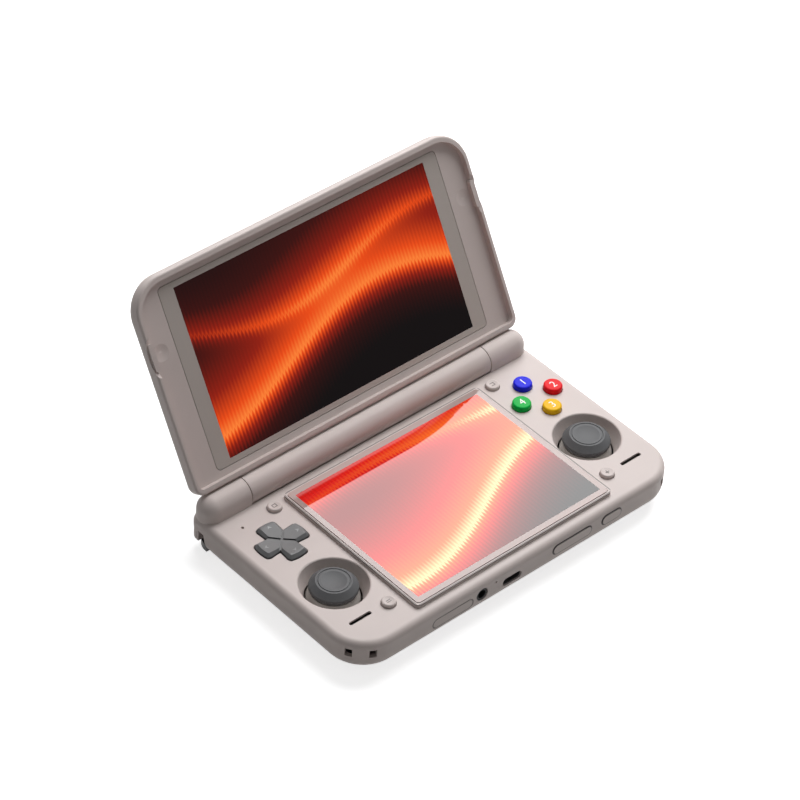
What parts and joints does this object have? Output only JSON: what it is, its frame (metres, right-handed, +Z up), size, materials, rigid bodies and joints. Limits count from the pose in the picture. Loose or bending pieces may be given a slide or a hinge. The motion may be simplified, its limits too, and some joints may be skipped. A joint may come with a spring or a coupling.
{
  "type": "clamshell handheld game console",
  "caption": "Handheld game console with a hinged lid, one screen in each half, thumb sticks, direction pad, buttons and triggers.",
  "frame": {"origin": "centre of the footprint box on the table plane, lid open 120 degrees", "axes": "+X to the player's right along the hinge, +Y from the player to the back, +Z up from the table"},
  "size_m": [0.163, 0.1382, 0.0981],
  "materials": {
    "warm_grey_abs": "fine moulded grain",
    "lid_grey_abs": "fine moulded grain",
    "trigger_black": "satin",
    "stick_rubber": "matte",
    "stick_collar": "satin",
    "dpad_grey": "satin",
    "button_blue": "polished",
    "button_red": "polished",
    "button_green": "polished",
    "button_yellow": "polished",
    "screen_glass": "gloss",
    "display_panel": "satin",
    "zinc_steel": "satin",
    "copper": "satin",
    "circuit_board": "solder mask",
    "polyimide": "satin film",
    "battery_wrap": "film",
    "silicone": "translucent matte",
    "foot_rubber": "matte",
    "black_moulding": "satin"
  },
  "bodies": {
    "base": {"base_top_shell": "warm_grey_abs", "base_bottom_shell": "warm_grey_abs", "lower_glass": "screen_glass", "lower_display_panel": "display_panel", "hinge_shaft_left": "zinc_steel", "hinge_shaft_right": "zinc_steel", "stick_module_left": "black_moulding", "stick_module_right": "black_moulding", "face_button_membrane": "silicone", "dpad_membrane": "silicone", "shoulder_bracket_left": "zinc_steel", "shoulder_bracket_right": "zinc_steel", "trigger_spring_left": "zinc_steel", "trigger_spring_right": "zinc_steel", "usb_port": "zinc_steel", "headphone_jack": "black_moulding", "card_reader": "zinc_steel", "main_board": "circuit_board", "control_boards": "circuit_board", "battery": "battery_wrap", "fan_frame": "black_moulding", "heat_sink": "copper", "speaker_left": "black_moulding", "speaker_right": "black_moulding", "vibration_motor": "zinc_steel", "rubber_feet": "foot_rubber", "case_screws": "zinc_steel"},
    "lid": {"lid_bezel": "lid_grey_abs", "lid_back_cover": "lid_grey_abs", "upper_glass": "screen_glass", "upper_display_panel": "display_panel", "lid_magnets": "zinc_steel", "display_flex": "polyimide", "hinge_module_left": "zinc_steel", "hinge_module_right": "zinc_steel"},
    "stick_gimbal_left": {"stick_gimbal_left": "zinc_steel"},
    "stick_shaft_left": {"stick_shaft_left": "stick_collar"},
    "stick_cap_left": {"stick_cap_left": "stick_rubber"},
    "stick_gimbal_right": {"stick_gimbal_right": "zinc_steel"},
    "stick_shaft_right": {"stick_shaft_right": "stick_collar"},
    "stick_cap_right": {"stick_cap_right": "stick_rubber"},
    "dpad_pivot": {"dpad_pivot": "black_moulding"},
    "dpad_cap": {"dpad_cap": "dpad_grey"},
    "face_button_top": {"face_button_top": "button_blue"},
    "face_button_right": {"face_button_right": "button_red"},
    "face_button_left": {"face_button_left": "button_green"},
    "face_button_bottom": {"face_button_bottom": "button_yellow"},
    "function_button_rear_left": {"function_button_rear_left": "warm_grey_abs"},
    "function_button_front_left": {"function_button_front_left": "warm_grey_abs"},
    "function_button_rear_right": {"function_button_rear_right": "warm_grey_abs"},
    "function_button_front_right": {"function_button_front_right": "warm_grey_abs"},
    "shoulder_button_left": {"shoulder_button_left": "warm_grey_abs"},
    "shoulder_button_right": {"shoulder_button_right": "warm_grey_abs"},
    "trigger_left": {"trigger_left": "trigger_black"},
    "trigger_right": {"trigger_right": "trigger_black"},
    "volume_rocker": {"volume_rocker": "warm_grey_abs"},
    "power_button": {"power_button": "warm_grey_abs"},
    "card_cover": {"card_cover": "warm_grey_abs"},
    "fan_rotor": {"fan_rotor": "black_moulding"}
  },
  "joints": [
    {"name": "lid_hinge", "type": "hinge", "parent": "base", "child": "lid", "pos_m": [0, 0.02121, 0.0194], "axis": [1, 0, 0], "range_deg": [-30, 120]},
    {"name": "stick_tilt_x_left", "type": "hinge", "parent": "base", "child": "stick_gimbal_left", "pos_m": [-0.0637, -0.03469, 0.0073], "axis": [1, 0, 0], "range_deg": [-10, 10], "stiffness_Nm_per_rad": 0.02},
    {"name": "stick_tilt_y_left", "type": "hinge", "parent": "stick_gimbal_left", "child": "stick_shaft_left", "pos_m": [-0.0637, -0.03469, 0.0073], "axis": [0, 1, 0], "range_deg": [-10, 10], "stiffness_Nm_per_rad": 0.02},
    {"name": "stick_press_left", "type": "slide", "parent": "stick_shaft_left", "child": "stick_cap_left", "axis": [0, 0, -1], "range_m": [0, 0.0004], "stiffness_N_per_m": 6000, "springref_m": -0.00005},
    {"name": "stick_tilt_x_right", "type": "hinge", "parent": "base", "child": "stick_gimbal_right", "pos_m": [0.0637, -0.03469, 0.0073], "axis": [1, 0, 0], "range_deg": [-10, 10], "stiffness_Nm_per_rad": 0.02},
    {"name": "stick_tilt_y_right", "type": "hinge", "parent": "stick_gimbal_right", "child": "stick_shaft_right", "pos_m": [0.0637, -0.03469, 0.0073], "axis": [0, 1, 0], "range_deg": [-10, 10], "stiffness_Nm_per_rad": 0.02},
    {"name": "stick_press_right", "type": "slide", "parent": "stick_shaft_right", "child": "stick_cap_right", "axis": [0, 0, -1], "range_m": [0, 0.0004], "stiffness_N_per_m": 6000, "springref_m": -0.00005},
    {"name": "dpad_tilt_x", "type": "hinge", "parent": "base", "child": "dpad_pivot", "pos_m": [-0.0644, -0.00629, 0.0145], "axis": [1, 0, 0], "range_deg": [-4, 4], "stiffness_Nm_per_rad": 0.08},
    {"name": "dpad_tilt_y", "type": "hinge", "parent": "dpad_pivot", "child": "dpad_cap", "pos_m": [-0.0644, -0.00629, 0.0145], "axis": [0, 1, 0], "range_deg": [-4, 4], "stiffness_Nm_per_rad": 0.08},
    {"name": "face_button_top_press", "type": "slide", "parent": "base", "child": "face_button_top", "axis": [0, 0, -1], "range_m": [0, 0.0008], "stiffness_N_per_m": 700, "springref_m": -0.0001},
    {"name": "face_button_right_press", "type": "slide", "parent": "base", "child": "face_button_right", "axis": [0, 0, -1], "range_m": [0, 0.0008], "stiffness_N_per_m": 700, "springref_m": -0.0001},
    {"name": "face_button_left_press", "type": "slide", "parent": "base", "child": "face_button_left", "axis": [0, 0, -1], "range_m": [0, 0.0008], "stiffness_N_per_m": 700, "springref_m": -0.0001},
    {"name": "face_button_bottom_press", "type": "slide", "parent": "base", "child": "face_button_bottom", "axis": [0, 0, -1], "range_m": [0, 0.0008], "stiffness_N_per_m": 700, "springref_m": -0.0001},
    {"name": "function_button_rear_left_press", "type": "slide", "parent": "base", "child": "function_button_rear_left", "axis": [0, 0, -1], "range_m": [0, 0.0008], "stiffness_N_per_m": 700, "springref_m": -0.0001},
    {"name": "function_button_front_left_press", "type": "slide", "parent": "base", "child": "function_button_front_left", "axis": [0, 0, -1], "range_m": [0, 0.0008], "stiffness_N_per_m": 700, "springref_m": -0.0001},
    {"name": "function_button_rear_right_press", "type": "slide", "parent": "base", "child": "function_button_rear_right", "axis": [0, 0, -1], "range_m": [0, 0.0008], "stiffness_N_per_m": 700, "springref_m": -0.0001},
    {"name": "function_button_front_right_press", "type": "slide", "parent": "base", "child": "function_button_front_right", "axis": [0, 0, -1], "range_m": [0, 0.0008], "stiffness_N_per_m": 700, "springref_m": -0.0001},
    {"name": "shoulder_button_press_left", "type": "hinge", "parent": "base", "child": "shoulder_button_left", "pos_m": [-0.0505, 0.02351, 0.008], "axis": [0, 0, 1], "range_deg": [0, 2.5], "stiffness_Nm_per_rad": 0.4, "springref_deg": -0.57},
    {"name": "trigger_pull_left", "type": "hinge", "parent": "base", "child": "trigger_left", "pos_m": [-0.0505, 0.02351, 0.008], "axis": [0, 0, 1], "range_deg": [0, 6], "stiffness_Nm_per_rad": 0.15, "springref_deg": -1.72},
    {"name": "shoulder_button_press_right", "type": "hinge", "parent": "base", "child": "shoulder_button_right", "pos_m": [0.0505, 0.02351, 0.008], "axis": [0, 0, -1], "range_deg": [0, 2.5], "stiffness_Nm_per_rad": 0.4, "springref_deg": -0.57},
    {"name": "trigger_pull_right", "type": "hinge", "parent": "base", "child": "trigger_right", "pos_m": [0.0505, 0.02351, 0.008], "axis": [0, 0, -1], "range_deg": [0, 6], "stiffness_Nm_per_rad": 0.15, "springref_deg": -1.72},
    {"name": "volume_rock", "type": "hinge", "parent": "base", "child": "volume_rocker", "pos_m": [0.024, -0.06654, 0.0112], "axis": [0, 0, 1], "range_deg": [-2, 2], "stiffness_Nm_per_rad": 0.3},
    {"name": "power_press", "type": "slide", "parent": "base", "child": "power_button", "axis": [0, 1, 0], "range_m": [0, 0.0003], "stiffness_N_per_m": 4000, "springref_m": -0.00005},
    {"name": "card_cover_pull", "type": "slide", "parent": "base", "child": "card_cover", "axis": [0, -1, 0], "range_m": [0, 0.004]},
    {"name": "fan_spin", "type": "hinge", "parent": "base", "child": "fan_rotor", "pos_m": [0.027, 0.00191, 0.0075], "axis": [0, 0, 1], "continuous": true}
  ]
}
